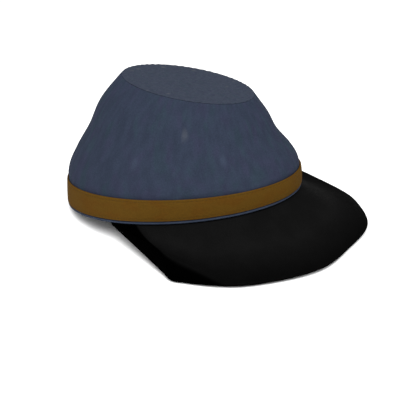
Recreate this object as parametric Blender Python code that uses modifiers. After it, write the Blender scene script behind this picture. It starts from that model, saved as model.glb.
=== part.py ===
"""Soft wool cap with a flat top, a cloth band and a leather peak, resting on a surface.

The wall is a loft of ovals that taper and lean from the head ring up to the flat top.
The front faces -Y and the wearer's right is -X. Heights count from the surface it rests on.
"""
import math

import bmesh
import bpy
import numpy as np

# Head ring: the wool's outer size at the band's lower edge
RING_LENGTH = 0.203
RING_WIDTH = 0.168
RING_PITCH = math.radians(8.5)

# Crown above the ring
CROWN_HEIGHT = 0.0875
TOP_LENGTH = 0.111
TOP_WIDTH = 0.0865
TOP_PITCH = math.radians(-7.0)
TOP_SHIFT = 0.0071
SEAM_TURN_IN = 0.006

# Cloth and leather
WOOL = 0.0022
BAND_CLOTH = 0.0013
LEATHER = 0.0030
PEAK_END_LEATHER = 0.0014
GAP = 0.0003

# Band, hem and peak
BAND_HEIGHT = 0.0170
HEM_DROP = 0.0026
PEAK_REACH = 0.0500
PEAK_SPAN = 0.223
PEAK_LIP_HEIGHT = 0.0034
PEAK_BASE = 0.0014
PEAK_ROLL = 0.0120
PEAK_DISH = 0.0030
PEAK_TURN_UP = 0.0090
PEAK_END_DROP = 0.0018
EDGE_ROUND = 0.0004

# Facets
ROUND_STEPS = 72
PEAK_STEPS = 60

# Wall sections. Rise is a share of CROWN_HEIGHT. Taper, lean and shift run from 0, as at the
# ring, to 1, as at the top: the oval's size, its pitch and its place forward.
WALL_SECTIONS = {
    "name": ("hem", "ring", "band top", "bulge", "shoulder", "dent", "upper wall", "top"),
    "rise": (-0.06, 0.00, 0.19, 0.285, 0.42, 0.58, 0.79, 1.00),
    "taper": (0.00, 0.00, 0.03, 0.06, 0.21, 0.445, 0.665, 1.00),
    "lean": (0.00, 0.00, 0.11, 0.20, 0.31, 0.47, 0.70, 1.00),
    "shift": (0.00, 0.00, -0.04, -0.06, 0.03, 0.14, 0.38, 1.00),
}

# Peak stations on one side, from the front centre to the end under the hem. Along is a share
# of the edge's length and at the angle round the ring in degrees. Out is a share of half the
# span, ahead of the front edge's distance from the ring's centre, lip of PEAK_LIP_HEIGHT,
# home of the way from the corner to the end, and roll of PEAK_ROLL.
PEAK_STATIONS = {
    "name": ("front", "near front", "quarter", "side front", "near corner", "corner",
             "past corner", "side", "end"),
    "along": (0.00, 0.19, 0.35, 0.49, 0.62, 0.66, 0.70, 0.85, 1.00),
    "at": (0.0, 22.0, 42.0, 59.0, 70.0, 73.5, 76.0, 84.0, 92.0),
    "out": (0.000, 0.385, 0.668, 0.871, 0.979, 1.000, 1.000, 1.000, 1.000),
    "ahead": (1.000, 0.980, 0.860, 0.713, 0.528, 0.469, 0.469, 0.469, 0.469),
    "lip": (0.30, 0.65, 0.45, 0.35, 0.05, 0.00, 0.00, 0.00, 0.00),
    "home": (0.00, 0.00, 0.00, 0.00, 0.00, 0.00, 0.12, 0.55, 1.00),
    "roll": (0.10, 0.10, 0.12, 0.20, 0.75, 1.00, 0.95, 0.55, 0.08),
}
PEAK_MIRRORED = {"at": -1, "out": -1, "ahead": 1, "lip": 1, "home": 1, "roll": 1}


def srgb(red, green, blue):
    """Linear colour from 8-bit display values."""
    def linear(value):
        value /= 255
        return value / 12.92 if value <= 0.04045 else ((value + 0.055) / 1.055) ** 2.4
    return linear(red), linear(green), linear(blue), 1.0


def material(name, colour, roughness):
    """Principled material with one colour."""
    finish = bpy.data.materials.new(name)
    finish.use_nodes = True
    finish.diffuse_color = colour
    shader = finish.node_tree.nodes["Principled BSDF"]
    shader.inputs["Base Color"].default_value = colour
    shader.inputs["Roughness"].default_value = roughness
    shader.inputs["Metallic"].default_value = 0.0
    return finish


def curve_through(keys, values, at):
    """Smooth curve through a table's rows: cubic spans whose slopes follow the neighbours."""
    keys = np.asarray(keys, float)
    values = np.asarray(values, float)
    slopes = np.gradient(values, keys)
    low = np.clip(np.searchsorted(keys, at, side="right") - 1, 0, len(keys) - 2)
    span = keys[low + 1] - keys[low]
    t = (at - keys[low]) / span
    start = (2 * t**3 - 3 * t**2 + 1) * values[low] + (t**3 - 2 * t**2 + t) * span * slopes[low]
    end = (3 * t**2 - 2 * t**3) * values[low + 1] + (t**3 - t**2) * span * slopes[low + 1]
    return start + end


def ring_height():
    """Height of the ring's centre, with the hem's back edge resting on the surface."""
    return RING_LENGTH / 2 * math.sin(RING_PITCH) + HEM_DROP


def wall_point(rise, angle, outward=0.0):
    """Points on the crown's wall, from rise (share of its height) and angle from the front.

    The oval at each rise has half sizes w and l and pitch p:
    x = -w sin(angle), y = shift - l cos(angle) cos(p), z = height + l cos(angle) sin(p),
    moved outward along the oval's own normal.
    """
    rise, angle, outward = np.broadcast_arrays(rise, angle, outward)
    table = {name: curve_through(WALL_SECTIONS["rise"], WALL_SECTIONS[name], rise)
             for name in ("taper", "lean", "shift")}
    half_width = RING_WIDTH / 2 + (TOP_WIDTH - RING_WIDTH) / 2 * table["taper"]
    half_length = RING_LENGTH / 2 + (TOP_LENGTH - RING_LENGTH) / 2 * table["taper"]
    pitch = RING_PITCH + (TOP_PITCH - RING_PITCH) * table["lean"]
    side = np.sin(angle) / half_width
    ahead = np.cos(angle) / half_length
    length = np.hypot(side, ahead)
    across = half_width * np.sin(angle) + outward * side / length
    along = half_length * np.cos(angle) + outward * ahead / length
    x = -across
    y = -TOP_SHIFT * table["shift"] - along * np.cos(pitch)
    z = ring_height() + CROWN_HEIGHT * rise + along * np.sin(pitch)
    return np.stack([x, y, z], axis=-1)


def grid_object(name, points, finish, closed):
    """Mesh object from rows of points, closed round each row or open at its ends."""
    rows, columns = points.shape[:2]
    index = np.arange(rows * columns).reshape(rows, columns)
    ahead = np.roll(index, -1, axis=1)
    if not closed:
        index, ahead = index[:, :-1], ahead[:, :-1]
    quads = np.stack([index[:-1], index[1:], ahead[1:], ahead[:-1]], axis=-1)
    mesh = bpy.data.meshes.new(name)
    mesh.from_pydata(points.reshape(-1, 3).tolist(), [], quads.reshape(-1, 4).tolist())
    mesh.materials.append(finish)
    return bpy.data.objects.new(name, mesh)


def thicken(piece, thickness, even=True):
    """Make a shell of an open surface, its thickness on the inner side."""
    shell = piece.modifiers.new("Thickness", 'SOLIDIFY')
    shell.thickness = thickness
    shell.offset = -1.0
    shell.use_even_offset = even
    shell.use_rim = True
    return shell


def round_edges(piece, width, angle=60):
    """Round the piece's sharp edges."""
    bevel = piece.modifiers.new("Edges", 'BEVEL')
    bevel.width = width
    bevel.segments = 1
    bevel.limit_method = 'ANGLE'
    bevel.angle_limit = math.radians(angle)


def shade(piece, angle=40):
    """Smooth shading that keeps edges sharper than the angle."""
    piece.data.shade_smooth()
    piece.data.set_sharp_from_angle(angle=math.radians(angle))


def top_rim(outward):
    """Points round the underside of the top plate, a gap below it and parallel to its face."""
    angles = np.linspace(0, 2 * math.pi, ROUND_STEPS, endpoint=False)
    below = WOOL + GAP
    normal = np.array([0.0, math.sin(TOP_PITCH), math.cos(TOP_PITCH)])
    return wall_point(1.0, angles, outward) - below * normal


def rim_slant():
    """How much wider the wall is at the top plate's underside than at its face."""
    under = wall_point(1.0 - (WOOL + GAP) / CROWN_HEIGHT, math.pi / 2)
    face = wall_point(1.0, math.pi / 2)
    return float(abs(under[0]) - abs(face[0]))


def crown_side(finish):
    """Wool wall from the hem to the top edge, then turned in under the top."""
    angles = np.linspace(0, 2 * math.pi, ROUND_STEPS, endpoint=False)
    hem_rise = -HEM_DROP / CROWN_HEIGHT
    band_rise = BAND_HEIGHT / CROWN_HEIGHT
    upper = np.linspace(band_rise, 1.0, 15)[:-1]
    rises = np.concatenate([[hem_rise, 0.0, band_rise / 2], upper])
    rows = [wall_point(rise, angles) for rise in rises]
    rows += [top_rim(rim_slant() - share * SEAM_TURN_IN) for share in (0.0, 0.4, 1.0)]
    piece = grid_object("crown_side", np.stack(rows), finish, closed=True)
    thicken(piece, WOOL)
    shade(piece)
    return piece


def crown_top(finish):
    """Flat oval top, a plate that lies on the wall's turned-in edge and carries on its slope."""
    plate = bmesh.new()
    bmesh.ops.create_cone(plate, cap_ends=True, segments=ROUND_STEPS, radius1=1.0,
                          radius2=1.0, depth=WOOL)
    for vertex in plate.verts:
        wider = 0.0 if vertex.co.z > 0 else rim_slant()
        vertex.co.x *= TOP_WIDTH / 2 + wider
        vertex.co.y *= TOP_LENGTH / 2 + wider
    mesh = bpy.data.meshes.new("crown_top")
    plate.to_mesh(mesh)
    plate.free()
    mesh.materials.append(finish)
    piece = bpy.data.objects.new("crown_top", mesh)
    middle = WOOL / 2
    piece.location = (0.0, -TOP_SHIFT - middle * math.sin(TOP_PITCH),
                      ring_height() + CROWN_HEIGHT - middle * math.cos(TOP_PITCH))
    piece.rotation_euler = (-TOP_PITCH, 0.0, 0.0)
    round_edges(piece, EDGE_ROUND)
    shade(piece)
    return piece


def band(finish):
    """Cloth band round the wall's foot, its lower edge at the ring."""
    angles = np.linspace(0, 2 * math.pi, ROUND_STEPS, endpoint=False)
    rises = np.linspace(0.0, BAND_HEIGHT / CROWN_HEIGHT, 3)
    points = wall_point(rises[:, None], angles[None, :], GAP + BAND_CLOTH)
    piece = grid_object("band", points, finish, closed=True)
    thicken(piece, BAND_CLOTH)
    shade(piece)
    return piece


def both_sides(values, mirror):
    """A one-sided table column run over both sides, turned over or not by the mirror's sign."""
    values = np.asarray(values, float)
    return np.concatenate([mirror * values[:0:-1], values])


def peak_lines(along):
    """Rows of the peak's outer face along its length: turned up inside the wall, then out.

    Along runs from -1 at one end, over 0 at the front centre, to 1 at the other end.
    """
    keys = both_sides(PEAK_STATIONS["along"], -1)
    table = {name: curve_through(keys, both_sides(PEAK_STATIONS[name], mirror), along)
             for name, mirror in PEAK_MIRRORED.items()}
    angle = np.radians(table["at"])
    hem_rise = -(HEM_DROP + GAP) / CROWN_HEIGHT
    turned_up = wall_point(hem_rise + PEAK_TURN_UP / CROWN_HEIGHT, angle, -WOOL - GAP)
    under_wall = wall_point(hem_rise, angle, -WOOL - GAP)
    hem = wall_point(hem_rise, angle)
    side = np.array([-1.0, 0.0, 0.0])
    up = np.array([0.0, 0.0, 1.0])
    forward = np.array([0.0, -1.0, 0.0])
    front = RING_LENGTH / 2 + PEAK_REACH
    edge = (side * PEAK_SPAN / 2 * table["out"][:, None] + forward * front * table["ahead"][:, None]
            + up * (PEAK_BASE + PEAK_LIP_HEIGHT * table["lip"][:, None]))
    ends = np.where(along[:, None] < 0, hem[:1], hem[-1:]) - up * PEAK_END_DROP
    corners = (side * PEAK_SPAN / 2 * np.sign(along)[:, None]
               + forward * front * PEAK_STATIONS["ahead"][-1] + up * PEAK_BASE)
    edge = edge + (ends - corners) * table["home"][:, None]
    inward = (hem - edge) * (1 - up)
    inward /= np.linalg.norm(inward, axis=1)[:, None] + PEAK_END_DROP
    roll = edge + (inward + up) * PEAK_ROLL * table["roll"][:, None]
    return turned_up, under_wall, hem, roll, edge


def peak(finish):
    """Leather peak: turned up inside the wall, dished to its crest and rolled down at the edge."""
    along = np.linspace(-1, 1, PEAK_STEPS + 1)
    turned_up, under_wall, hem, roll, edge = peak_lines(along)
    rows = [turned_up, under_wall, hem]
    reach = np.linalg.norm(roll - hem, axis=1)[:, None]
    dish = np.minimum(PEAK_DISH, reach / 8)
    bend = hem + (roll - hem) * 0.86
    for share in np.linspace(0, 1, 7)[1:]:
        row = hem + (bend - hem) * share
        row[:, 2:] -= dish * 4 * share * (1 - share)
        rows.append(row)
    for share in np.linspace(0, 1, 5)[1:]:
        rows.append((1 - share)**2 * bend + 2 * share * (1 - share) * roll + share**2 * edge)
    points = np.stack(rows)
    piece = grid_object("peak", points[:, ::-1], finish, closed=False)
    thin = PEAK_END_LEATHER / LEATHER
    body = np.clip((1 - np.abs(along[::-1])) / 0.15, 0, 1)
    weights = np.tile(thin + (1 - thin) * body, len(rows))
    group = piece.vertex_groups.new(name="thickness")
    for index, weight in enumerate(weights.tolist()):
        group.add([index], weight, 'REPLACE')
    thicken(piece, LEATHER, even=False).vertex_group = group.name
    shade(piece)
    return piece


def clear_scene():
    """Remove every object of the open scene."""
    for item in list(bpy.data.objects):
        bpy.data.objects.remove(item, do_unlink=True)


def lowest_and_middle(pieces):
    """Lowest height, and the middle of the whole length, of the finished pieces."""
    bpy.context.view_layer.update()
    graph = bpy.context.evaluated_depsgraph_get()
    ends = []
    for piece in pieces:
        shape = piece.evaluated_get(graph)
        corners = [shape.matrix_world @ vertex.co for vertex in shape.data.vertices]
        ends.append((min(c.z for c in corners), min(c.y for c in corners), max(c.y for c in corners)))
    low, front, back = np.array(ends).T
    return low.min(), (front.min() + back.max()) / 2


def main():
    clear_scene()
    collection = bpy.data.collections.new("cap")
    bpy.context.scene.collection.children.link(collection)
    wool = material("wool", srgb(62, 72, 92), 0.95)
    top_wool = material("top_wool", srgb(70, 80, 98), 0.95)
    cloth = material("band_cloth", srgb(112, 80, 30), 0.85)
    leather = material("leather", srgb(16, 16, 17), 0.45)
    pieces = [crown_side(wool), crown_top(top_wool), band(cloth), peak(leather)]
    cap = bpy.data.objects.new("cap", None)
    collection.objects.link(cap)
    for piece in pieces:
        collection.objects.link(piece)
        piece.parent = cap
    low, middle = lowest_and_middle(pieces)
    cap.location = (0.0, -middle, -low)


main()
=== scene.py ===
"""Looks of a soft wool cap with a flat top, a cloth band and a leather peak.

Laid out as an add-on and run as a script. Each piece is worked out on a grid from the same
sizes and tables as the part's solids, in metres, with the front to -Y and the top to +Z.
"""
import math

import bpy
import numpy as np
from bpy.props import FloatProperty, FloatVectorProperty, IntProperty, PointerProperty
from mathutils import Matrix, Vector


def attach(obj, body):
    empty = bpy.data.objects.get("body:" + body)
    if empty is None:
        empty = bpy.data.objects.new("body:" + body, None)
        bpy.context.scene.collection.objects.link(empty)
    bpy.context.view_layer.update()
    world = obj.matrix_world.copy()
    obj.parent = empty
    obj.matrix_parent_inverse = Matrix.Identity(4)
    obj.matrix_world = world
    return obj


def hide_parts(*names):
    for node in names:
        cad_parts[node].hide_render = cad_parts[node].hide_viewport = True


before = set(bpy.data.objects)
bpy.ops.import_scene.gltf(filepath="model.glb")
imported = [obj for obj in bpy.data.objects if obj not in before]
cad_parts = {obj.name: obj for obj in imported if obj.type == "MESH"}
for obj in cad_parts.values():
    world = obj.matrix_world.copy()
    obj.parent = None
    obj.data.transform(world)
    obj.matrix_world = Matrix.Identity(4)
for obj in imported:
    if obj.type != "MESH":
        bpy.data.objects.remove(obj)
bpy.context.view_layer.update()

bl_info = {
    "name": "Soft wool cap",
    "version": (1, 0, 0),
    "blender": (4, 5, 0),
    "location": "3D View > Sidebar > Cap",
    "description": "Wool crown, cloth band and leather peak of a soft cap",
    "category": "Object",
}

# Where the head ring's axis meets the floor, in the frame
PLACE = np.array([0.0, 0.024861, 0.000384])

# Head ring, crown and peak, as the part's source has them
RING_LENGTH = 0.203
RING_WIDTH = 0.168
RING_PITCH = math.radians(8.5)
CROWN_HEIGHT = 0.0875
TOP_LENGTH = 0.111
TOP_WIDTH = 0.0865
TOP_PITCH = math.radians(-7.0)
TOP_SHIFT = 0.0071
SEAM_TURN_IN = 0.006
WOOL = 0.0022
BAND_CLOTH = 0.0013
LEATHER = 0.0030
GAP = 0.0003
BAND_HEIGHT = 0.0170
HEM_DROP = 0.0026
PEAK_REACH = 0.0500
PEAK_SPAN = 0.223
PEAK_LIP_HEIGHT = 0.0034
PEAK_BASE = 0.0014
PEAK_ROLL = 0.0120
PEAK_DISH = 0.0030
PEAK_TURN_UP = 0.0090
PEAK_END_DROP = 0.0018

# Share of the way out to the roll at which the peak starts to bend down, leather at its very
# ends, and how far in from its edge the top reaches its full thickness
PEAK_BEND = 0.86
PEAK_END_LEATHER = 0.0002
TOP_TAPER = 0.0040

# Turn to each side of the back seam in which the columns lie closer together
SEAM_STRETCH = 0.055
SHARP_ANGLE = math.radians(50)
FLOOR_HALF = 8.0

WALL_SECTIONS = {
    "rise": (-0.06, 0.00, 0.19, 0.285, 0.42, 0.58, 0.79, 1.00),
    "taper": (0.00, 0.00, 0.03, 0.06, 0.21, 0.445, 0.665, 1.00),
    "lean": (0.00, 0.00, 0.11, 0.20, 0.31, 0.47, 0.70, 1.00),
    "shift": (0.00, 0.00, -0.04, -0.06, 0.03, 0.14, 0.38, 1.00),
}
PEAK_STATIONS = {
    "along": (0.00, 0.19, 0.35, 0.49, 0.62, 0.66, 0.70, 0.85, 1.00),
    "at": (0.0, 22.0, 42.0, 59.0, 70.0, 73.5, 76.0, 84.0, 92.0),
    "out": (0.000, 0.385, 0.668, 0.871, 0.979, 1.000, 1.000, 1.000, 1.000),
    "ahead": (1.000, 0.980, 0.860, 0.713, 0.528, 0.469, 0.469, 0.469, 0.469),
    "lip": (0.30, 0.65, 0.45, 0.35, 0.05, 0.00, 0.00, 0.00, 0.00),
    "home": (0.00, 0.00, 0.00, 0.00, 0.00, 0.00, 0.12, 0.55, 1.00),
    "roll": (0.10, 0.10, 0.12, 0.20, 0.75, 1.00, 0.95, 0.55, 0.08),
}
# Line across the wing below which the leather is painted black as shade: share of the way down from
# the wall
PEAK_PAINTED_SHADOW_LINE = {
    "along": (0.45, 0.50, 0.56, 0.62, 0.66, 0.71, 0.77, 0.85),
    "down": (1.30, 1.08, 0.89, 0.84, 0.79, 0.56, 0.18, -0.30),
}
PEAK_MIRRORED = {"at": -1, "out": -1, "ahead": 1, "lip": 1, "home": 1, "roll": 1}

MM = 0.001
UP = np.array([0.0, 0.0, 1.0])
TOP_NORMAL = np.array([0.0, math.sin(TOP_PITCH), math.cos(TOP_PITCH)])
SEED = 7
STITCH_SEED = 27

# Waves in the cloth by name: their counts per turn. Each name has its own random draw
WAVES = {
    "slump": (3, 4, 5, 7),
    "ripple": (9, 11, 14),
    "gather": (21, 26, 33),
    "pull": (44, 51, 58, 63),
    "dome": (2, 3, 4, 5),
    "band": (9, 14, 19, 23),
}

# Rubbed spots on the wool: angle round the crown in degrees, height up the cloth in metres,
# half width, half height, how far the nap is gone, and how creamy the bare cloth is
SPOTS = {
    "angle": (58.5, 83.0, 38.0),
    "height": (0.0734, 0.0480, 0.0510),
    "wide": (0.0042, 0.0038, 0.0036),
    "tall": (0.0076, 0.0070, 0.0082),
    "gone": (0.62, 0.75, 0.80),
    "cream": (0.55, 0.0, 0.0),
}
# Worn flecks near the top's rim: angle, inset from the rim, half size, how far the nap is gone
FLECKS = {
    "angle": (175.5, 164.0, 212.0, 227.5, 248.5, 320.5, 297.5, 288.5, 280.5, 96.5, 79.5),
    "inset": (.0085, .0065, .0100, .0055, .0090, .0200, .0065, .0085, .0085, .0012, .0065),
    "size": (.0024, .0022, .0026, .0020, .0024, .0016, .0016, .0014, .0014, .0018, .0018),
    "gone": (0.55, 0.35, 0.60, 0.30, 0.50, 0.45, 0.45, 0.35, 0.35, 0.35, 0.55),
}


def srgb(red, green, blue):
    """Linear colour from 8-bit display values."""
    values = np.array([red, green, blue]) / 255
    linear = np.where(values <= 0.04045, values / 12.92, ((values + 0.055) / 1.055)**2.4)
    return tuple(float(value) for value in linear)


def length(name, description, default):
    """Property for a length in metres."""
    return FloatProperty(name=name, description=description, default=default, min=0.0,
                         precision=5, unit='LENGTH', subtype='DISTANCE')


def turn(name, description, degrees):
    """Property for an angle."""
    return FloatProperty(name=name, description=description, default=math.radians(degrees),
                         unit='ROTATION', subtype='ANGLE')


def colour(name, description, red, green, blue):
    """Property for a colour, its default in 8-bit display values."""
    return FloatVectorProperty(name=name, description=description, size=3, min=0.0, max=1.0,
                               default=srgb(red, green, blue), subtype='COLOR')


class CapCloth(bpy.types.PropertyGroup):
    """Relief and sewing of the wool, the band and the leather."""
    slump: length("Slump", "Depth of the wool wall's broad unevenness", 0.45 * MM)
    gather: length("Gather", "How far the wool swells over the band's upper edge", 0.35 * MM)
    hem: length("Hem", "How far the hem swells out below the band", 1.3 * MM)
    pucker: length("Pucker", "Depth of the small pulls along the top seam", 0.22 * MM)
    dome: length("Dome", "How far the flat top's middle stands up", 0.35 * MM)
    lip: length("Top edge", "Radius of the top's rolled edge", 0.2 * MM)
    back_seam: length("Back seam", "Depth of the sewn line down the back", 0.45 * MM)
    stitch_inset: length("Stitch inset", "Distance of the stitches from the band's edges", 1.8 * MM)
    stitch: length("Stitch", "Length of one stitch", 2.5 * MM)
    stitch_gap: length("Stitch gap", "Space between two stitches", 0.8 * MM)
    thread: length("Thread", "Radius of the sewing thread", 0.17 * MM)
    around: IntProperty(name="Facets around", description="Grid columns round the crown",
                        default=400, min=72)


class CapColours(bpy.types.PropertyGroup):
    """Colours of the finishes."""
    wool: colour("Wool", "Ground colour of the wall's wool", 38, 44, 57)
    teal: colour("Wool, cooler", "Greenish streaks in the wool", 37, 48, 57)
    violet: colour("Wool, warmer", "Violet streaks in the wool", 41, 43, 59)
    top: colour("Top", "Wool of the flat top", 46, 51, 62)
    rubbed: colour("Rubbed wool", "Creamy spots where the nap is rubbed", 71, 73, 76)
    # Also painted on the hem's fold, partly as rubbed nap and partly as painted light that lifts the
    # shade under the band
    pale_wool: colour("Faded wool", "Paler spots in the wool", 46, 53, 67)
    band: colour("Band", "Golden band cloth", 74, 52, 15)
    band_warm: colour("Band, warmer", "Redder patches in the band cloth", 74, 48, 13)
    thread: colour("Thread", "Stitches along the band", 66, 47, 15)
    leather: colour("Leather", "Black leather of the peak", 13, 13, 13)
    paler: colour("Worn leather", "Leather where its edge is rubbed", 23, 22, 20)
    floor: colour("Floor", "Plain floor", 254, 254, 254)


class CapStage(bpy.types.PropertyGroup):
    """Camera and light."""
    azimuth: turn("Azimuth", "Camera's turn round the cap from the front", -56.53)
    elevation: turn("Elevation", "Camera's height above the horizon", 23.17)
    roll: turn("Roll", "Camera's tilt about its own line of sight", 0.22)
    distance: length("Distance", "From the camera to the point that it looks at", 0.5509)
    lens: FloatProperty(name="Lens", description="Focal length in mm, on a 36 mm sensor",
                        default=55.71, unit='CAMERA')
    aim: FloatVectorProperty(name="Aim", description="Point that the camera looks at", size=3,
                             default=(0.0118, 0.0040, -0.0035), unit='LENGTH')
    key: FloatProperty(name="Key light", description="Power of the softbox", default=30.0,
                       unit='POWER')
    key_size: length("Key size", "Width and height of the softbox", 1.2)
    key_place: FloatVectorProperty(name="Key place", size=3, default=(-0.03, 0.95, 1.05),
                                   description="From the aim: sideways, to the camera and up",
                                   unit='LENGTH')
    sky: FloatProperty(name="Sky", description="Strength of the pale surroundings", default=1.0)


# Curves and waves

def smooth(low, high, value):
    """0 below low and 1 above high, with the smooth cubic 3t^2 - 2t^3 between."""
    t = np.clip((value - low) / (high - low), 0, 1)
    return t * t * (3 - 2 * t)


def bump(value, middle, width):
    """Bell curve: e to the power of minus the square of the distance in widths."""
    return np.exp(-((value - middle) / width)**2)


def curve_through(keys, values, at):
    """Smooth curve through a table's rows: cubic spans whose slopes follow the neighbours."""
    keys = np.asarray(keys, float)
    values = np.asarray(values, float)
    slopes = np.gradient(values, keys)
    low = np.clip(np.searchsorted(keys, at, side="right") - 1, 0, len(keys) - 2)
    span = keys[low + 1] - keys[low]
    t = (at - keys[low]) / span
    start = (2 * t**3 - 3 * t**2 + 1) * values[low] + (t**3 - 2 * t**2 + t) * span * slopes[low]
    end = (3 * t**2 - 2 * t**3) * values[low + 1] + (t**3 - t**2) * span * slopes[low + 1]
    return start + end


def waves(angle, name, drift=0.0):
    """Uneven closed wave round the crown, about -1 to 1.

    It is a sum of sines of the named counts per turn, each with a random size and phase, divided
    by the size of the sum. Drift slants the sines by a value that may differ from row to row.
    """
    counts = WAVES[name]
    draw = np.random.default_rng(SEED + 1 + list(WAVES).index(name))
    sizes = draw.uniform(0.4, 1.0, len(counts))
    phases = draw.uniform(0, 2 * math.pi, len(counts))
    slants = draw.uniform(-1, 1, len(counts))
    total = sum(size * np.sin(count * angle + phase + slant * drift)
                for count, size, phase, slant in zip(counts, sizes, phases, slants))
    return total / math.sqrt((sizes**2).sum())


def unit(vectors):
    """Vectors of length 1."""
    return vectors / np.linalg.norm(vectors, axis=-1, keepdims=True)


def arc(start, corner, end, steps):
    """Rows of a rounded corner: the quadratic curve (1-t)^2 a + 2t(1-t) b + t^2 c, t above 0."""
    t = np.linspace(0, 1, steps + 1)[1:, None, None]
    return list((1 - t)**2 * start + 2 * t * (1 - t) * corner + t**2 * end)


def ring_angles(around):
    """Angles round the crown from the front, closer together at the seam down the back."""
    even = np.linspace(0, 2 * math.pi, around, endpoint=False)
    even = even[np.abs(even - math.pi) > 1.13 * SEAM_STRETCH]
    back = math.pi + np.linspace(-SEAM_STRETCH, SEAM_STRETCH, 41)
    return np.sort(np.concatenate([even, back]))


# The crown's form

def ring_height():
    """Height of the ring's centre, with the hem's back edge resting on the surface."""
    return RING_LENGTH / 2 * math.sin(RING_PITCH) + HEM_DROP


def wall_point(rise, angle, outward=0.0):
    """Points on the crown's wall, from rise (share of its height) and angle from the front.

    The oval at each rise has half sizes w and l and pitch p:
    x = -w sin(angle), y = shift - l cos(angle) cos(p), z = height + l cos(angle) sin(p),
    moved outward along the oval's own normal.
    """
    rise, angle, outward = np.broadcast_arrays(rise, angle, outward)
    table = {name: curve_through(WALL_SECTIONS["rise"], WALL_SECTIONS[name], rise)
             for name in ("taper", "lean", "shift")}
    half_width = RING_WIDTH / 2 + (TOP_WIDTH - RING_WIDTH) / 2 * table["taper"]
    half_length = RING_LENGTH / 2 + (TOP_LENGTH - RING_LENGTH) / 2 * table["taper"]
    pitch = RING_PITCH + (TOP_PITCH - RING_PITCH) * table["lean"]
    side = np.sin(angle) / half_width
    ahead = np.cos(angle) / half_length
    size = np.hypot(side, ahead)
    across = half_width * np.sin(angle) + outward * side / size
    along = half_length * np.cos(angle) + outward * ahead / size
    x = -across
    y = -TOP_SHIFT * table["shift"] - along * np.cos(pitch)
    z = ring_height() + CROWN_HEIGHT * rise + along * np.sin(pitch)
    return np.stack([x, y, z], axis=-1)


def top_centre():
    """Middle of the top's face."""
    return np.array([0.0, -TOP_SHIFT, ring_height() + CROWN_HEIGHT])


def rim_point(angle, inset, depth):
    """Points near the top's rim: inset towards the top's centre, and depth below its face."""
    rim = wall_point(1.0, angle)
    outward = unit(rim - top_centre())
    return rim - outward * np.asarray(inset)[..., None] - TOP_NORMAL * np.asarray(depth)[..., None]


def top_underside(cloth, inset):
    """Depth of the top's underside below its face, from its rolled edge to the full wool."""
    edge = 2 * cloth.lip
    return edge + (WOOL - edge) * smooth(0, TOP_TAPER, inset - cloth.lip)


def wall_relief(cloth, rise, angle):
    """How far the wool stands out of the plain form, in metres.

    A broad slump of a few waves, a soft swell just above the band and another below it, small
    pulls under the top seam, and a sewn line down the back: a groove between two low ridges.
    """
    height = rise * CROWN_HEIGHT
    above = height - BAND_HEIGHT
    below = CROWN_HEIGHT - height
    clear = smooth(0.0, 5 * MM, above) * smooth(2 * MM, 9 * MM, below)
    slump = cloth.slump * clear * (0.7 * waves(angle, "slump", rise * 5)
                                   + 0.35 * waves(angle, "ripple", rise * 9))
    swell = bump(above, 3.2 * MM, 2.4 * MM)
    gather = cloth.gather * swell * (1 + 0.5 * waves(angle, "gather"))
    fading = smooth(0, 2 * MM, below) * np.exp(-below / (5 * MM))
    pull = cloth.pucker * fading * waves(angle, "pull")
    aside = np.abs(angle - math.pi) * RING_WIDTH / 2
    groove = 0.4 * bump(aside, 2.1 * MM, 1.0 * MM) - bump(aside, 0, 0.8 * MM)
    hem = cloth.hem * (1 - smooth(-1.2 * MM, -0.2 * MM, height))
    return smooth(0.0, 1.5 * MM, above) * (slump + gather + pull + cloth.back_seam * groove) + hem


def grid_normals(points, closed):
    """Outward directions on a grid whose rows go up: rows' change crossed with columns' change."""
    if closed:
        wide = np.concatenate([points[:, -1:], points, points[:, :1]], axis=1)
        along = wide[:, 2:] - wide[:, :-2]
    else:
        along = np.gradient(points, axis=1)
    return unit(np.cross(np.gradient(points, axis=0), along))


# Meshes

def ring_quads(rows, columns, close_rows, close_columns):
    """Corner numbers of a grid's quads, closed over its rows or columns or not."""
    index = np.arange(rows * columns).reshape(rows, columns)
    if close_rows:
        index = np.concatenate([index, index[:1]])
    if close_columns:
        index = np.concatenate([index, index[:, :1]], axis=1)
    return np.stack([index[:-1, :-1], index[:-1, 1:], index[1:, 1:], index[1:, :-1]],
                    axis=-1).reshape(-1, 4)


def enclosed_volume(points, triangles):
    """Volume inside the triangles: a sixth of the sum of their corners' triple products."""
    a, b, c = (points[triangles[:, corner]] for corner in range(3))
    return float(np.einsum("ij,ij->", a, np.cross(b, c))) / 6


def make_piece(name, points, quads, material, attributes, fans=None):
    """Smooth closed mesh of quads, and of triangles where a fan closes a pole.

    Its faces point outwards: all are turned over where the volume inside comes out negative.
    """
    points = points.reshape(-1, 3) + PLACE
    fans = np.zeros((0, 3), int) if fans is None else fans
    if enclosed_volume(points, np.concatenate([quads[:, :3], quads[:, [0, 2, 3]], fans])) < 0:
        quads, fans = quads[:, ::-1], fans[:, ::-1]
    corners = np.concatenate([quads.ravel(), fans.ravel()]).astype(np.int32)
    sizes = np.concatenate([np.full(len(quads), 4), np.full(len(fans), 3)])
    mesh = bpy.data.meshes.new(name)
    mesh.vertices.add(len(points))
    mesh.vertices.foreach_set("co", points.ravel())
    mesh.loops.add(len(corners))
    mesh.loops.foreach_set("vertex_index", corners)
    mesh.polygons.add(len(sizes))
    mesh.polygons.foreach_set("loop_start", (np.cumsum(sizes) - sizes).astype(np.int32))
    mesh.update(calc_edges=True)
    mesh.shade_smooth()
    mesh.set_sharp_from_angle(angle=SHARP_ANGLE)
    for label, values in attributes.items():
        single = values.size == len(points)
        layer = mesh.attributes.new(label, 'FLOAT' if single else 'FLOAT_VECTOR', 'POINT')
        layer.data.foreach_set("value" if single else "vector", values.astype(np.float32).ravel())
    mesh.materials.append(material)
    piece = bpy.data.objects.new(name, mesh)
    bpy.context.scene.collection.objects.link(piece)
    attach(piece, "root")
    return piece


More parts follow.
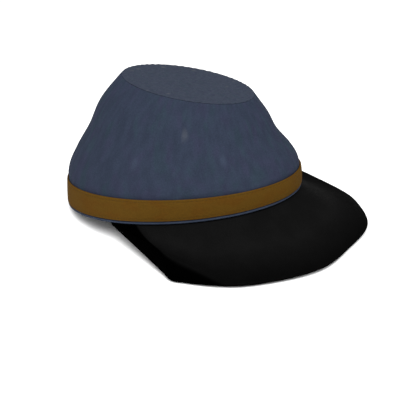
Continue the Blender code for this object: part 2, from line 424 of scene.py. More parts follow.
def cloth_place(points, angles):
    """Where each point lies on the cloth, for its pattern.

    The angle round the crown is laid on a circle of the ring's width, so that the pattern
    closes, and the height is each row's mean distance run from the first row.
    """
    steps = np.linalg.norm(np.diff(points, axis=0), axis=-1).mean(axis=1)
    height = np.concatenate([[0.0], np.cumsum(steps)])[:, None]
    height, angle = np.broadcast_arrays(height, angles[None, :])
    radius = RING_WIDTH / 2
    return np.stack([radius * np.cos(angle), radius * np.sin(angle), height], axis=-1)


# Wool

def wool_wall_rows(cloth, angles):
    """Closed loop of rows: up the outside, in under the top, down the inside, round the hem.

    The inside lies behind the plain wall, without the outside's relief. With the rows comes, for
    each point, how much paler the wool is painted: 1 round the hem's fold, partly as rubbed nap
    and partly as painted light that lifts the shade under the band, 0 elsewhere.
    """
    half = WOOL / 2
    low = (half - HEM_DROP) / CROWN_HEIGHT
    band_top = BAND_HEIGHT / CROWN_HEIGHT
    corner_rise = 1 - (2 * cloth.lip + 0.05 * MM) / CROWN_HEIGHT
    fold = corner_rise - 0.3 * MM / CROWN_HEIGHT
    below = np.linspace(low, 0.0, 8)[:-1]
    rise = np.concatenate([below, np.linspace(0.0, band_top, 6)[:-1],
                           np.linspace(band_top, fold, 62)])[:, None]
    outside = wall_point(rise, angles, wall_relief(cloth, rise, angles))
    plain = wall_point(rise, angles)
    inside = plain - grid_normals(plain, True) * WOOL
    corner = wall_point(corner_rise, angles, wall_relief(cloth, corner_rise, angles))

    # The turned-in strip starts tight under the top's edge and falls away to the full gap
    strip_start = 0.5 * MM
    tight = 0.1 * MM
    inset = np.linspace(strip_start, SEAM_TURN_IN, 12)[:, None] + 0 * angles
    clear = tight + (GAP - tight) * smooth(strip_start, 5 * MM, inset)
    turned_in = rim_point(angles, inset, top_underside(cloth, inset) + clear)
    rows = list(outside) + arc(outside[-1], corner, turned_in[0], 9) + list(turned_in[1:])

    # Round the strip's end, and by a wide arc into the inside
    t = np.linspace(0, math.pi, 9)[1:, None]
    rows += list(rim_point(angles, SEAM_TURN_IN + half * np.sin(t) + 0 * angles,
                           WOOL + GAP + half * (1 - np.cos(t)) + 0 * angles))
    rows += arc(rows[-1], inside[-1] - TOP_NORMAL * 0.4 * MM, inside[-3], 9)
    rows += list(inside[-4::-1])

    # Half an ellipse under the hem, from the inside to the swollen outside
    t = np.linspace(0, math.pi, 9)[1:-1, None]
    across = (cloth.hem - WOOL - (cloth.hem + WOOL) * np.cos(t)) / 2
    hem = wall_point(low, angles, across) - UP * half * np.sin(t)[..., None]
    rows = np.stack(rows + list(hem))
    paler = np.zeros(rows.shape[:2])
    # The hem's fold is painted paler: partly rubbed nap, partly painted light that lifts the shade
    # under the band
    paler[:len(below)] = paler[-len(hem):] = 1
    return rows, paler


def wool_top_rows(cloth, angles):
    """Rows of the top from beside its centre, over its rolled edge, to its underside's centre.

    The face stands out by a faint dome, broad waves that fade at centre and rim, and small
    pulls that fade away from the seam.
    """
    radius = np.linalg.norm(wall_point(1.0, angles) - top_centre(), axis=-1)[None, :]
    share = (1 - (1 - np.linspace(0, 1, 44)[1:])**1.35)[:, None]
    inset = cloth.lip + (1 - share) * (radius - cloth.lip)
    broad = 3 * share**2 * (1 - share) * waves(angles, "dome", share * 3)
    pulls = 0.6 * np.exp(-(inset - cloth.lip) / (4 * MM)) * waves(angles, "pull")
    relief = cloth.dome * (1 - share**2 + broad) + cloth.pucker * pulls
    rows = [rim_point(angles, inset, -relief)]
    t = np.linspace(0, math.pi, 10)[1:, None]
    fade = (1 + np.cos(t)) / 2 * relief[-1:]
    rows.append(rim_point(angles, cloth.lip * (1 - np.sin(t)) + 0 * angles,
                          cloth.lip * (1 - np.cos(t)) - fade))
    inset = cloth.lip + TOP_TAPER * np.linspace(0, 1, 9)[1:, None] + 0 * angles
    rows.append(rim_point(angles, inset, top_underside(cloth, inset)))
    share = np.linspace(0, 1, 9)[1:-1, None]
    inset = cloth.lip + TOP_TAPER + share * (radius - cloth.lip - TOP_TAPER)
    rows.append(rim_point(angles, inset, np.full_like(inset, WOOL)))
    return np.concatenate(rows)


# Band

def from_back(angle):
    """Distance round the ring from the middle of the back, above 0 on the wearer's right."""
    return (math.pi - angle) * (RING_LENGTH + RING_WIDTH) / 4


def band_relief(cloth, height, angle):
    """How far the band's face stands out of its plain form.

    It is cushioned between its edges, pulled in along both lines of stitches, a little wavy,
    and raised where its end laps over at the middle of the back, with a groove beside it.
    """
    middle = 2 * height / BAND_HEIGHT - 1
    cushion = 0.16 * MM * (1 - middle**4)
    pulled = 0.13 * MM * (bump(height, cloth.stitch_inset, 0.6 * MM)
                          + bump(height, BAND_HEIGHT - cloth.stitch_inset, 0.6 * MM))
    wavy = 0.10 * MM * waves(angle, "band", height * 150)
    distance = from_back(angle)
    lap = smooth(-0.4 * MM, 0.4 * MM, distance) * (1 - smooth(9 * MM, 13 * MM, distance))
    groove = bump(distance, -0.5 * MM, 0.5 * MM)
    return cushion - pulled + wavy + 0.45 * MM * lap - 0.35 * MM * groove


def band_point(cloth, height, angle, outward):
    """Point on or over the band's face: outward is counted from its finished face."""
    face = GAP + BAND_CLOTH + band_relief(cloth, height, angle)
    return wall_point(height / CROWN_HEIGHT, angle, face + outward)


def band_rows(cloth, angles):
    """Closed loop of rows: up the face, over the rounded top edge, down the back, and round."""
    edge = 0.5 * MM
    heights = np.linspace(edge, BAND_HEIGHT - edge, 34)[:, None]
    back = np.linspace(BAND_HEIGHT - edge, edge, 8)[1:-1, None]
    t = np.linspace(0, math.pi / 2, 6)
    bow = edge * (1 - np.cos(t))
    depth = np.concatenate([bow[1:], BAND_CLOTH - edge * (1 - np.sin(t))])[:, None]
    drop = np.concatenate([edge * (1 - np.sin(t[1:])), bow])[:, None]

    def over(height, depth):
        share = 1 - depth / BAND_CLOTH
        out = GAP + BAND_CLOTH - depth + share * band_relief(cloth, height, angles)
        return wall_point(height / CROWN_HEIGHT, angles, out)

    return np.concatenate([over(heights, 0 * heights), over(BAND_HEIGHT - drop, depth),
                           over(back, BAND_CLOTH + 0 * back), over(drop[::-1], depth[::-1])])


def stitch_rows(cloth, height):
    """Sections of every stitch in one line round the band, as stitches x sections x six sides.

    A stitch is a short thread along the ring: at u from -1 to 1 along it the thread's radius is
    r times the fourth root of 1 - u^4, and its middle rises r (0.35 - 0.9 u^2) over the cloth.
    """
    fine = np.linspace(0, 2 * math.pi, 2001)
    around = band_point(cloth, height, fine, 0.0)
    run = np.concatenate([[0.0], np.cumsum(np.linalg.norm(np.diff(around, axis=0), axis=1))])
    count = int(run[-1] / (cloth.stitch + cloth.stitch_gap))
    middles = (np.arange(count) + 0.5) * run[-1] / count
    u = np.array([-1.0, -0.82, -0.45, 0.0, 0.45, 0.82, 1.0])
    angle = np.interp(middles[:, None] + u * cloth.stitch / 2, run, fine)
    slant = np.random.default_rng(STITCH_SEED).uniform(-0.12, 0.12, count)[:, None] * MM
    heights = height + slant * u
    radius = cloth.thread * (1.02 - u**4)**0.25
    middle = band_point(cloth, heights, angle, cloth.thread * (0.35 - 0.9 * u**2))
    out = unit(band_point(cloth, heights, angle, 1 * MM) - band_point(cloth, heights, angle, 0.0))
    side = np.cross(unit(np.gradient(middle, axis=1)), out)
    t = np.linspace(0, 2 * math.pi, 6, endpoint=False)[:, None]
    ring = np.cos(t) * out[:, :, None, :] + np.sin(t) * side[:, :, None, :]
    return middle[:, :, None, :] + ring * radius[None, :, None, None]


def stitch_quads(count, sections, sides):
    """Corner numbers of all the stitches' quads, each end closed by quads across it."""
    one = ring_quads(sections, sides, False, True)
    start = np.array([[3, 2, 1, 0], [5, 4, 3, 0]])
    end = np.array([[0, 1, 2, 3], [0, 3, 4, 5]]) + (sections - 1) * sides
    one = np.concatenate([one, start, end])
    return (np.arange(count)[:, None, None] * sections * sides + one).reshape(-1, 4)


# Peak

def both_sides(values, mirror):
    """A one-sided table column run over both sides, turned over or not by the mirror's sign."""
    values = np.asarray(values, float)
    return np.concatenate([mirror * values[:0:-1], values])


def peak_lines(along):
    """Rows of the peak's outer face along its length: turned up inside the wall, then out.

    Along runs from -1 at one end, over 0 at the front centre, to 1 at the other end.
    """
    keys = both_sides(PEAK_STATIONS["along"], -1)
    table = {name: curve_through(keys, both_sides(PEAK_STATIONS[name], mirror), along)
             for name, mirror in PEAK_MIRRORED.items()}
    angle = np.radians(table["at"])
    hem_rise = -(HEM_DROP + GAP) / CROWN_HEIGHT
    turned_up = wall_point(hem_rise + PEAK_TURN_UP / CROWN_HEIGHT, angle, -WOOL - GAP)
    under_wall = wall_point(hem_rise, angle, -WOOL - GAP)
    hem = wall_point(hem_rise, angle)
    side = np.array([-1.0, 0.0, 0.0])
    forward = np.array([0.0, -1.0, 0.0])
    front = RING_LENGTH / 2 + PEAK_REACH
    edge = (side * PEAK_SPAN / 2 * table["out"][:, None] + forward * front * table["ahead"][:, None]
            + UP * (PEAK_BASE + PEAK_LIP_HEIGHT * table["lip"][:, None]))
    ends = np.where(along[:, None] < 0, hem[:1], hem[-1:]) - UP * PEAK_END_DROP
    corners = (side * PEAK_SPAN / 2 * np.sign(along)[:, None]
               + forward * front * PEAK_STATIONS["ahead"][-1] + UP * PEAK_BASE)
    edge = edge + (ends - corners) * table["home"][:, None]
    inward = (hem - edge) * (1 - UP)
    inward /= np.linalg.norm(inward, axis=1)[:, None] + PEAK_END_DROP
    roll = edge + (inward + UP) * PEAK_ROLL * table["roll"][:, None]
    return turned_up, under_wall, hem, roll, edge


def distances(start, end):
    """Distances between the points of two rows, as a column."""
    return np.linalg.norm(end - start, axis=1)[:, None]


def towards(start, end, reach):
    """Point on the way from start to end, at a distance but never past two fifths of it."""
    return start + (end - start) * np.minimum(reach / distances(start, end), 0.4)


def eased(points, freedom, passes):
    """Grid softened a little at a time: each point moves towards the mean of its neighbours.

    Freedom is each row's share of the way per pass. The first and last columns stay.
    """
    points = points.copy()
    share = freedom[1:-1, None, None]
    for _ in range(passes):
        around = (points[1:-1, :-2] + points[1:-1, 2:] + points[:-2, 1:-1] + points[2:, 1:-1]) / 4
        points[1:-1, 1:-1] += (around - points[1:-1, 1:-1]) * share
    return points


def room_behind(points, normals, reach):
    """Radius of the largest ball that fits behind each point of a grid and touches it there.

    Another point that lies d away and b back against the normal keeps it to d^2 / (2 b). Those
    of up to reach columns to each side count.
    """
    least = 0.001 * MM
    columns = np.arange(points.shape[1])
    room = np.full(points.shape[:2], np.inf)
    for step in range(-reach, reach + 1):
        beside = points[:, np.clip(columns + step, 0, columns[-1])]
        way = beside[None, :] - points[:, None]
        back = -(way * normals[:, None]).sum(axis=-1)
        radius = (way**2).sum(axis=-1) / (2 * np.maximum(back, least))
        room = np.minimum(room, np.where(back > least, radius, np.inf).min(axis=1))
    return room


def leather_depth(outer, normals, along):
    """Thickness of the leather at each point: full in front, thin at the ends and in folds.

    It is at most a share of the room behind the point, changes down a column by no more than
    0.3 of the way run, and is softened from column to column.
    """
    aside = np.abs(along)
    ends = np.clip((1 - aside) / 0.25, 0, 1)
    most = PEAK_END_LEATHER + (LEATHER - PEAK_END_LEATHER) * ends
    share = 0.5 - 0.3 * smooth(0.6, 0.9, aside)
    depth = np.minimum(most, share * room_behind(outer, normals, 16))
    steps = np.linalg.norm(np.diff(outer, axis=0), axis=-1)
    run = np.concatenate([np.zeros((1, len(along))), np.cumsum(steps, axis=0)])
    depth = (depth[None, :] + 0.3 * np.abs(run[:, None] - run[None, :])).min(axis=1)
    for _ in range(20):
        wide = np.pad(depth, ((0, 0), (1, 1)), "edge")
        depth = np.minimum(depth, (wide[:, :-2] + wide[:, 1:-1] + wide[:, 2:]) / 3)
    return depth


def peak_grid(along):
    """Rows of the whole closed leather, and at each point its wear and its painted light and shade.

    The outer face runs down the turned-up strip, round two small corners and out over the
    dished top: hem + (bend - hem) s, lowered by 4 s (1 - s) of the dish. Then it rolls down to
    the edge on (1-t)^2 bend + 2t(1-t) roll + t^2 edge. The inner face lies the leather's
    thickness behind it, and half an ellipse closes the free edge.
    """
    turned_up, under_wall, hem, roll, edge = peak_lines(along)
    bend = hem + (roll - hem) * PEAK_BEND
    dish = np.minimum(PEAK_DISH, distances(hem, roll) / 8)

    def over(share):
        row = hem + (bend - hem) * share
        return row - UP * dish * 4 * share * (1 - share)

    # Down the strip and round its two corners, the first inside the wall, the second at the hem
    rows = list(np.linspace(turned_up, towards(under_wall, turned_up, 1.3 * MM), 6))
    rows += arc(rows[-1], under_wall, towards(under_wall, hem, 1.2 * MM), 5)
    begin = np.minimum(1.6 * MM / distances(hem, bend), 0.25)
    rows += arc(towards(hem, under_wall, 0.9 * MM), hem, over(begin), 5)

    # Out over the top and down the roll, which stops short of the edge for its rounding
    rows += [over(begin + (1 - begin) * share) for share in np.linspace(0, 1, 27)[1:]]
    last = 1 - np.minimum(0.9 * MM / (2 * distances(roll, edge)), 0.3)
    t = np.linspace(0, 1, 17)[1:, None, None] * last
    rows += list((1 - t)**2 * bend + 2 * t * (1 - t) * roll + t**2 * edge)

    # Softened where it is free, and less towards the edge
    place = np.arange(len(rows)) / (len(rows) - 1)
    freedom = smooth(0.35, 0.6, place) * (1 - 0.9 * smooth(0.88, 1.0, place))
    outer = eased(np.stack(rows), freedom, 10)
    normals = grid_normals(outer, False)
    if normals[len(rows) // 2, len(along) // 2, 2] < 0:
        normals = -normals
    normals = unit(eased(normals, np.full(len(rows), 0.9), 5))
    inner = outer - normals * leather_depth(outer, normals, along)[..., None]

    half = (outer[-1] - inner[-1]) / 2
    tip = unit(outer[-1] - outer[-2]) * distances(outer[-1], edge)
    t = np.linspace(0, math.pi, 10)[1:-1, None, None]
    closing = (outer[-1] + inner[-1]) / 2 + half * np.cos(t) + tip * np.sin(t)
    points = np.concatenate([outer, closing, inner[::-1]])
    down = np.concatenate([place, np.ones(len(closing)), place[::-1]])[:, None]
    return points, peak_wear_and_painted_shading(points, edge, along, down)


def peak_wear_and_painted_shading(points, edge, along, down):
    """Edge wear of the leather, and its painted light and shade.

    Wear fades away from the edge. Painted shade darkens the leather steadily from a crest that runs
    along the peak, 30 to 35 mm from its edge and further at the wings, and a painted highlight lies
    along the crest. The side is painted black as shade where it folds down past a line across the
    wing.
    """
    aside = np.abs(along)
    from_edge = np.linalg.norm(points - edge, axis=-1)
    wear = np.exp(-from_edge / (1.6 * MM))
    # Painted shade darkening towards the edge, with a painted highlight along the crest
    crest = (30 + 5 * smooth(0.1, 0.35, aside) + 72 * np.maximum(aside - 0.5, 0)) * MM
    share = from_edge / crest
    light = np.clip(0.34 + 0.70 * share, 0, 1) + 0.10 * bump(share, 1.05, 0.2)
    # Painted shade: black below the line across the wing
    first, last = PEAK_PAINTED_SHADOW_LINE["along"][0], PEAK_PAINTED_SHADOW_LINE["along"][-1]
    line = curve_through(PEAK_PAINTED_SHADOW_LINE["along"], PEAK_PAINTED_SHADOW_LINE["down"], np.clip(aside, first, last))
    light = light * (1 - 0.97 * smooth(-0.10, 0.02, down - line))
    return {"wear": wear, "painted_shading": light}


def end_quads(rows, columns):
    """Quads that close a loop of rows at the grid's first and last columns."""
    k = np.arange(rows // 2 - 1)
    first = np.stack([k, k + 1, rows - 2 - k, rows - 1 - k], axis=-1) * columns
    return np.concatenate([first, first[:, ::-1] + columns - 1])


# Finishes

class Socket:
    """A material's output socket whose operators add Math nodes."""

    def __init__(self, finish, socket):
        self.finish = finish
        self.socket = socket

    def __add__(self, other):
        return self.finish.maths('ADD', self, other)

    def __sub__(self, other):
        return self.finish.maths('SUBTRACT', self, other)

    def __rsub__(self, other):
        return self.finish.maths('SUBTRACT', other, self)

    def __mul__(self, other):
        return self.finish.maths('MULTIPLY', self, other)

    __radd__ = __add__
    __rmul__ = __mul__


class Finish:
    """Principled material whose nodes are added by value."""

    def __init__(self, name, constants):
        self.material = bpy.data.materials.new(name)
        self.material.use_nodes = True
        self.tree = self.material.node_tree
        self.shader = self.tree.nodes["Principled BSDF"]
        for socket, value in constants.items():
            self.shader.inputs[socket].default_value = value

    def node(self, kind, settings=None, values=None, output=0):
        """Add a node: its settings first, then its sockets' values or links."""
        made = self.tree.nodes.new(kind)
        for name, value in (settings or {}).items():
            setattr(made, name, value)
        for key, value in (values or {}).items():
            if isinstance(value, Socket):
                self.tree.links.new(value.socket, made.inputs[key])
            else:
                made.inputs[key].default_value = value
        if isinstance(output, tuple):
            return [Socket(self, made.outputs[index]) for index in output]
        return Socket(self, made.outputs[output])

    def maths(self, operation, *values):
        """Number worked out from one or two values."""
        return self.node("ShaderNodeMath", {"operation": operation}, dict(enumerate(values)))

    def attribute(self, name, output="Vector"):
        """The piece's own attribute, or 0 where it has none of this name."""
        return self.node("ShaderNodeAttribute", {"attribute_name": name}, output=output)

    def place(self):
        """Place in the part's frame, in metres."""
        return self.node("ShaderNodeTexCoord", output="Object")

    def scaled(self, vector, factors, offset=(0.0, 0.0, 0.0)):
        """Vector times factors, plus an offset, along each axis."""
        return self.node("ShaderNodeVectorMath", {"operation": 'MULTIPLY_ADD'},
                         {0: vector, 1: factors, 2: offset})

    def noise(self, vector, sizes, detail=2.0, roughness=0.5, offset=(0.0, 0.0, 0.0)):
        """Noise from 0 to 1 whose features are about the given size or sizes, in metres."""
        vector = self.scaled(vector, per_metre(sizes), offset)
        return self.node("ShaderNodeTexNoise", {"noise_dimensions": '3D'},
                         {"Vector": vector, "Scale": 1.0, "Detail": detail, "Roughness": roughness})

    def spread(self, value, low, high, least=0.0, most=1.0):
        """The value's range from low to high, smoothly stretched to least and most."""
        return self.node("ShaderNodeMapRange", {"interpolation_type": 'SMOOTHSTEP'},
                         {0: value, 1: low, 2: high, 3: least, 4: most})

    def vary(self, noise, least, most):
        """A noise's middle range, smoothly stretched to least and most."""
        return self.spread(noise, 0.3, 0.7, least, most)

    def mix(self, share, first, second):
        """Colour between two colours."""
        first, second = (value if isinstance(value, Socket) else (*value, 1.0)
                         for value in (first, second))
        return self.node("ShaderNodeMix", {"data_type": 'RGBA'},
                         {0: share, 6: first, 7: second}, output=2)

    def shaded(self, tone, value):
        """Colour times a number that varies."""
        return self.node("ShaderNodeVectorMath", {"operation": 'SCALE'}, {0: tone, 3: value})

    def relief(self, height, depth, below=None):
        """Bump of a height from 0 to 1 that is depth metres deep, laid over one below it."""
        values = {"Strength": 1.0, "Distance": depth, "Height": height}
        if below is not None:
            values["Normal"] = below
        return self.node("ShaderNodeBump", None, values)

    def into(self, name, value):
        """Link a value to the shader."""
        self.tree.links.new(value.socket, self.shader.inputs[name])


def per_metre(sizes):
    """Factors that make a pattern's features about the given size or sizes, in metres."""
    return tuple(float(factor) for factor in np.broadcast_to(1 / np.array(sizes), 3))


def wall_spots():
    """Middles, half sizes, bareness and creaminess of the rubbed spots on the wall."""
    radius = RING_WIDTH / 2
    for angle, height, wide, tall, gone, cream in zip(*SPOTS.values()):
        at = math.radians(angle)
        yield (math.cos(at) * radius, math.sin(at) * radius, height), (wide, wide, tall), gone, cream


def rim_flecks():
    """Middles, half sizes, bareness and creaminess of the worn flecks along the top's rim."""
    for angle, inset, size, gone in zip(*FLECKS.values()):
        middle = rim_point(np.radians([angle]), np.array([inset]), np.array([0.0]))[0]
        yield tuple(middle), (size, size, size), gone, 1.0


def wool_finish(name, ground, colours, sizes, vivid, spots):
    """Milled wool: streaks and patches that follow the cloth, rubbed spots, and a fine nap.

    A spot's mask falls from 1 to 0 with the distance from its middle, counted in its half sizes.
    """
    finish = Finish(name, {"Roughness": 0.95, "Specular IOR Level": 0.02})
    cloth = finish.attribute("cloth")
    place = finish.place()
    sizes = np.array(sizes)
    hue = finish.noise(cloth, sizes, offset=(9.1, 2.3, 5.2))
    cool = finish.noise(cloth, sizes, offset=(1.7, 8.3, 0.4))
    streak = finish.noise(cloth, sizes * 0.6, 1.5, offset=(3.1, 7.7, 1.9))
    nap = finish.noise(place, 0.9 * MM, 3.0, 0.6)
    felt = finish.noise(place, 5 * MM, 3.0)
    tone = finish.mix(finish.spread(hue, 0.46, 0.66, 0.0, vivid), ground, colours.violet)
    tone = finish.mix(finish.spread(cool, 0.50, 0.68, 0.0, vivid), tone, colours.teal)
    for middle, halves, gone, cream in spots:
        factors = per_metre(halves)
        offset = tuple(-at * factor for at, factor in zip(middle, factors))
        away = finish.node("ShaderNodeVectorMath", {"operation": 'LENGTH'},
                           {0: finish.scaled(cloth, factors, offset)}, "Value")
        ragged = away + (streak - 0.5) * 1.3
        bare = Vector(colours.pale_wool).lerp(Vector(colours.rubbed), cream)
        tone = finish.mix(finish.spread(ragged, 0.05, 1.15, gone, 0.0), tone, bare)
    # Hem fold painted paler: partly rubbed nap, partly painted light that lifts the shade under the
    # band
    tone = finish.mix(finish.attribute("paler", "Fac"), tone, colours.pale_wool)
    light = finish.vary(streak, 0.93, 1.07) * finish.vary(nap, 0.90, 1.10)
    finish.into("Base Color", finish.shaded(tone, light))
    finish.into("Normal", finish.relief(nap, 0.12 * MM, finish.relief(felt, 0.35 * MM)))
    return finish.material


def band_finish(colours):
    """Golden twill: fine slanting threads round the band, and soft warmer patches."""
    finish = Finish("band_cloth_finish", {"Roughness": 0.9, "Specular IOR Level": 0.02})
    cloth = finish.attribute("cloth")
    right, back, height = finish.node("ShaderNodeSeparateXYZ", None, {0: cloth}, (0, 1, 2))
    angle = finish.maths('ARCTAN2', back, right)
    threads = round(math.pi * (RING_LENGTH + RING_WIDTH) / 2 / (0.75 * MM))
    twill = finish.maths('SINE', angle * threads + height * (2 * math.pi / (0.9 * MM)))
    rib = finish.maths('SINE', height * (2 * math.pi / (0.55 * MM)))
    patch = finish.noise(cloth, (14 * MM, 14 * MM, 9 * MM))
    grain = finish.noise(cloth, 1.2 * MM)
    tone = finish.mix(finish.spread(patch, 0.42, 0.66, 0.0, 0.7), colours.band, colours.band_warm)
    light = finish.vary(grain, 0.93, 1.07) + twill * 0.05
    finish.into("Base Color", finish.shaded(tone, light))
    finish.into("Normal", finish.relief(twill * 0.3 + rib * 0.2 + 0.5, 0.10 * MM))
    return finish.material


def thread_finish(colours):
    """Sewing thread: an uneven ply in its colour and its relief."""
    finish = Finish("thread_finish", {"Roughness": 0.8, "Specular IOR Level": 0.05})
    ply = finish.noise(finish.place(), 0.5 * MM)
    finish.into("Base Color", finish.shaded(tuple(colours.thread), finish.vary(ply, 0.85, 1.12)))
    finish.into("Normal", finish.relief(ply, 0.05 * MM))
    return finish.material


def leather_finish(colours):
    """Black leather: pebbled grain, uneven polish, edge wear, and the peak's painted light and
    shade.
    """
    finish = Finish("leather_finish", {"Specular IOR Level": 0.001})
    place = finish.place()
    cells = finish.node("ShaderNodeTexVoronoi", {"feature": 'DISTANCE_TO_EDGE'},
                        {"Vector": finish.scaled(place, per_metre(1.3 * MM)), "Scale": 1.0})
    grain = finish.spread(cells, 0.0, 0.22)
    blotch = finish.noise(place, 18 * MM, 3.0)
    scuff = finish.noise(place, 2.2 * MM, 3.0, 0.6)
    rubbed = finish.attribute("wear", "Fac") * finish.spread(scuff, 0.40, 0.62)
    tone = finish.mix(rubbed * 0.45, colours.leather, colours.paler)
    light = finish.vary(blotch, 0.92, 1.12) * (grain * 0.16 + 0.86)
    # Painted shade towards the edge and on the wing, and a painted highlight along the crest
    light = light * finish.attribute("painted_shading", "Fac")
    finish.into("Base Color", finish.shaded(tone, light))
    finish.into("Roughness", finish.vary(blotch, 0.52, 0.64) + rubbed * 0.12)
    finish.into("Normal", finish.relief(grain, 0.05 * MM, finish.relief(blotch, 0.5 * MM)))
    return finish.material


# Operators

class CAP_OT_wall(bpy.types.Operator):
    """Make the wool wall, from its hem to the fold under the top"""
    bl_idname = "cap.wall"
    bl_label = "Wool wall"

    def execute(self, context):
        cloth, colours = context.scene.cap_cloth, context.scene.cap_colours
        angles = ring_angles(cloth.around)
        rows, paler = wool_wall_rows(cloth, angles)
        finish = wool_finish("wool_finish", colours.wool, colours,
                             sizes=(10 * MM, 10 * MM, 22 * MM), vivid=0.6, spots=wall_spots())
        wall = make_piece("wool_wall", rows, ring_quads(*rows.shape[:2], True, True), finish,
                          {"cloth": cloth_place(rows, angles), "paler": paler})
        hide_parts("crown_side")
        return {'FINISHED'}


class CAP_OT_top(bpy.types.Operator):
    """Make the flat oval top with its rolled edge"""
    bl_idname = "cap.top"
    bl_label = "Wool top"

    def execute(self, context):
        cloth, colours = context.scene.cap_cloth, context.scene.cap_colours
        angles = ring_angles(cloth.around)
        rows = wool_top_rows(cloth, angles)
        count, columns = rows.shape[:2]
        middle = top_centre()
        poles = np.stack([middle + TOP_NORMAL * cloth.dome, middle - TOP_NORMAL * WOOL])
        points = np.concatenate([rows.reshape(-1, 3), poles])
        ring = np.arange(columns)
        ahead = np.roll(ring, -1)
        last = (count - 1) * columns
        fans = np.concatenate([
            np.stack([ahead, ring, np.full(columns, count * columns)], axis=-1),
            np.stack([last + ring, last + ahead, np.full(columns, count * columns + 1)], axis=-1)])
        finish = wool_finish("top_wool_finish", colours.top, colours,
                             sizes=(4 * MM, 4 * MM, 4 * MM), vivid=0.35, spots=rim_flecks())
        top = make_piece("wool_top", points, ring_quads(count, columns, False, True), finish,
                         {"cloth": points}, fans)
        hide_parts("crown_top")
        return {'FINISHED'}


class CAP_OT_band(bpy.types.Operator):
    """Make the cloth band round the foot of the wall"""
    bl_idname = "cap.band"
    bl_label = "Cloth band"

    def execute(self, context):
        cloth = context.scene.cap_cloth
        angles = ring_angles(cloth.around)
        rows = band_rows(cloth, angles)
        band = make_piece("cloth_band", rows, ring_quads(*rows.shape[:2], True, True),
                          band_finish(context.scene.cap_colours),
                          {"cloth": cloth_place(rows, angles)})
        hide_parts("band")
        return {'FINISHED'}


class CAP_OT_stitches(bpy.types.Operator):
    """Sew the band on: a line of short stitches along each of its edges"""
    bl_idname = "cap.stitches"
    bl_label = "Band stitches"

    def execute(self, context):
        cloth = context.scene.cap_cloth
        lines = [stitch_rows(cloth, height)
                 for height in (cloth.stitch_inset, BAND_HEIGHT - cloth.stitch_inset)]
        points = np.concatenate(lines)
        quads = stitch_quads(*points.shape[:3])
        stitches = make_piece("band_stitches", points, quads,
                              thread_finish(context.scene.cap_colours), {})
        return {'FINISHED'}


class CAP_OT_peak(bpy.types.Operator):
    """Make the leather peak, from the strip inside the wall to its free edge"""
    bl_idname = "cap.peak"
    bl_label = "Leather peak"

    def execute(self, context):
        # The peak's attributes: edge wear, and painted light and shade
        points, wear_and_painted_shading = peak_grid(np.linspace(-1, 1, 281))
        rows, columns = points.shape[:2]
        quads = np.concatenate([ring_quads(rows, columns, True, False), end_quads(rows, columns)])
        peak = make_piece("leather_peak", points, quads, leather_finish(context.scene.cap_colours),
                          wear_and_painted_shading)
        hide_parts("peak")
        return {'FINISHED'}


def softbox(name, place, aim, size, power):
    """Square area light at a place, turned to its aim."""
    light = bpy.data.lights.new(name, 'AREA')
    light.shape = 'SQUARE'
    light.size = size
    light.energy = power
    lamp = bpy.data.objects.new(name, light)
    lamp.location = place
    lamp.rotation_euler = (Vector(place) - Vector(aim)).to_track_quat('Z', 'Y').to_euler()
    bpy.context.scene.collection.objects.link(lamp)


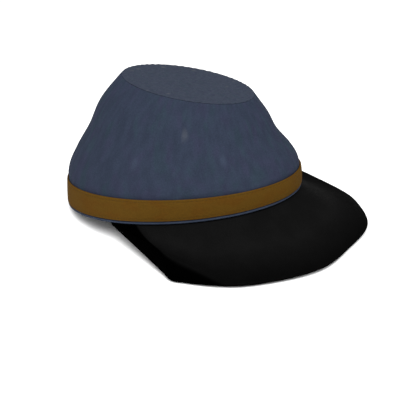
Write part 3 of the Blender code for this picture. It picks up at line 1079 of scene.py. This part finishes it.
class CAP_OT_stage(bpy.types.Operator):
    """Lay a plain pale floor, hang the light and set up the camera"""
    bl_idname = "cap.stage"
    bl_label = "Stage"

    def execute(self, context):
        stage, scene = context.scene.cap_stage, context.scene
        finish = Finish("floor_finish", {"Roughness": 0.9, "Specular IOR Level": 0.1,
                                         "Base Color": (*scene.cap_colours.floor, 1.0)})
        mesh = bpy.data.meshes.new("floor")
        mesh.from_pydata([(x * FLOOR_HALF, y * FLOOR_HALF, 0)
                          for x, y in ((-1, -1), (1, -1), (1, 1), (-1, 1))], [], [(0, 1, 2, 3)])
        mesh.materials.append(finish.material)
        floor = bpy.data.objects.new("floor", mesh)
        scene.collection.objects.link(floor)
        world = bpy.data.worlds.new("pale_surroundings")
        world.use_nodes = True
        sky = world.node_tree.nodes["Background"]
        sky.inputs["Color"].default_value = (1.0, 1.0, 1.0, 1.0)
        sky.inputs["Strength"].default_value = stage.sky
        scene.world = world
        scene.view_settings.view_transform = 'Standard'
        azimuth, tilt = stage.azimuth, stage.elevation
        back = Vector((math.sin(azimuth) * math.cos(tilt), -math.cos(azimuth) * math.cos(tilt),
                       math.sin(tilt)))
        level = Vector((math.cos(azimuth), math.sin(azimuth), 0.0))
        upright = back.cross(level)
        right = level * math.cos(stage.roll) + upright * math.sin(stage.roll)
        up = back.cross(right)
        aim = Vector(stage.aim)
        lens = bpy.data.cameras.new("camera")
        lens.lens = stage.lens
        lens.sensor_width = 36.0
        lens.clip_start = 0.01
        camera = bpy.data.objects.new("camera", lens)
        camera.matrix_world = Matrix.Translation(aim + back * stage.distance) @ Matrix(
            (right, up, back)).transposed().to_4x4()
        scene.collection.objects.link(camera)
        scene.camera = camera
        sideways, nearer, higher = stage.key_place
        softbox("key_light", aim + level * sideways + back * nearer + Vector((0, 0, higher)), aim,
                stage.key_size, stage.key)
        return {'FINISHED'}


class CAP_PT_sidebar(bpy.types.Panel):
    """Lists the cap's operators and settings."""
    bl_idname = "CAP_PT_sidebar"
    bl_label = "Soft wool cap"
    bl_space_type = 'VIEW_3D'
    bl_region_type = 'UI'
    bl_category = "Cap"

    def draw(self, context):
        for operator in OPERATORS:
            self.layout.operator(operator.bl_idname)
        for group in GROUPS:
            settings = getattr(context.scene, group)
            box = self.layout.box()
            for name in settings.bl_rna.properties.keys():
                if name not in ("rna_type", "name"):
                    box.prop(settings, name)


OPERATORS = (CAP_OT_wall, CAP_OT_top, CAP_OT_band, CAP_OT_stitches, CAP_OT_peak, CAP_OT_stage)
GROUPS = {"cap_cloth": CapCloth, "cap_colours": CapColours, "cap_stage": CapStage}


def register():
    for item in (*GROUPS.values(), *OPERATORS, CAP_PT_sidebar):
        bpy.utils.register_class(item)
    for name, group in GROUPS.items():
        setattr(bpy.types.Scene, name, PointerProperty(type=group))


def unregister():
    for name in GROUPS:
        delattr(bpy.types.Scene, name)
    for item in reversed((*GROUPS.values(), *OPERATORS, CAP_PT_sidebar)):
        bpy.utils.unregister_class(item)


def main():
    """Make every piece and the stage."""
    register()
    bpy.ops.cap.wall()
    bpy.ops.cap.top()
    bpy.ops.cap.band()
    bpy.ops.cap.stitches()
    bpy.ops.cap.peak()
    bpy.ops.cap.stage()


if __name__ == "__main__":
    main()
